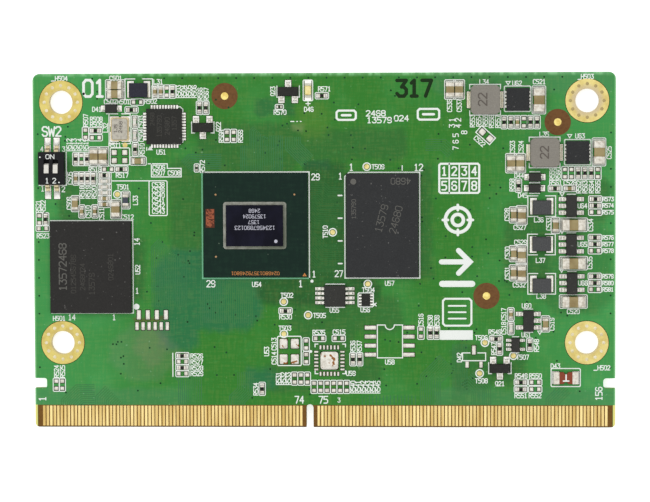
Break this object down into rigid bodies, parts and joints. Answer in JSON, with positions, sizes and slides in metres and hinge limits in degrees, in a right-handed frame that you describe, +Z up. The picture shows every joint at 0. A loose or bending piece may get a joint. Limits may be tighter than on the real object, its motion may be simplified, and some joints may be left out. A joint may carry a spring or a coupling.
{
  "type": "system on module",
  "caption": "Rectangular edge-card computer module: a green circuit board with processor, memory, power parts, an option switch and gold contacts along one edge.",
  "frame": {"origin": "under the middle of the board, level with its lowest parts", "axes": "+X to the right along the contact edge, +Y from the contact edge to the back edge, +Z up from the parts side"},
  "size_m": [0.082, 0.05, 0.0038],
  "materials": {
    "solder_mask": "glossy green solder mask",
    "gold": "satin gold plating",
    "tin": "bright tinned copper",
    "solder": "bright solder",
    "terminal": "satin tin",
    "substrate": "dark green satin",
    "resin": "grey satin resin",
    "silicon": "polished dark silicon",
    "mould_grey": "matte charcoal",
    "mould_brown": "matte brown black",
    "mould_black": "matte black",
    "switch_black": "satin black",
    "slider_white": "satin white",
    "lead_gold": "pale gold",
    "crystal_base": "cream ceramic with gold rim",
    "lid_metal": "satin grey metal",
    "coil_grey": "matte grey pressed powder",
    "choke_dark": "dark grey ferrite",
    "led_white": "white",
    "led_yellow": "clear yellow",
    "fuse_red": "red brown",
    "capacitor_tan": "tan ceramic",
    "resistor_black": "black glaze"
  },
  "bodies": {
    "module": {"circuit_board": "solder_mask", "mounting_hole_plating": "gold", "contacts_top": "gold", "contacts_bottom": "gold", "fiducial_dots": "gold", "test_points": "gold", "component_lands": "tin", "bare_pads": "tin", "processor_substrate": "substrate", "processor_resin": "resin", "processor_die": "silicon", "processor_balls": "solder", "memory_package": "mould_grey", "memory_balls": "solder", "storage_package": "mould_brown", "storage_balls": "solder", "controller_body": "mould_black", "controller_leads": "tin", "switch_housing": "switch_black", "switch_leads": "lead_gold", "crystal_base": "crystal_base", "crystal_lid": "lid_metal", "power_inductor_bodies": "coil_grey", "power_inductor_terminals": "terminal", "small_inductor_bodies": "choke_dark", "small_inductor_terminals": "terminal", "converter_bodies": "mould_black", "converter_leads": "tin", "regulator_bodies": "mould_black", "regulator_leads": "tin", "gate_body": "mould_black", "gate_leads": "tin", "transistor_bodies": "mould_black", "transistor_leads": "tin", "driver_body": "mould_black", "driver_leads": "tin", "sensor_body": "mould_black", "sensor_leads": "tin", "diode_bodies": "mould_black", "diode_leads": "tin", "led_base": "led_white", "led_lens": "led_yellow", "fuse_body": "fuse_red", "fuse_terminals": "terminal", "bead_body": "choke_dark", "bead_terminals": "terminal", "large_capacitor_bodies": "capacitor_tan", "large_capacitor_terminals": "terminal", "medium_capacitor_bodies": "capacitor_tan", "medium_capacitor_terminals": "terminal", "small_capacitor_bodies": "capacitor_tan", "small_capacitor_terminals": "terminal", "resistor_bodies": "resistor_black", "resistor_terminals": "terminal", "decoupling_capacitor_bodies": "capacitor_tan", "decoupling_capacitor_terminals": "terminal"},
    "slider_1": {"switch_slider_1": "slider_white"},
    "slider_2": {"switch_slider_2": "slider_white"}
  },
  "joints": [
    {"name": "slider_1_travel", "type": "slide", "parent": "module", "child": "slider_1", "axis": [0, 1, 0], "range_m": [0, 0.00065]},
    {"name": "slider_2_travel", "type": "slide", "parent": "module", "child": "slider_2", "axis": [0, 1, 0], "range_m": [0, 0.00065]}
  ]
}
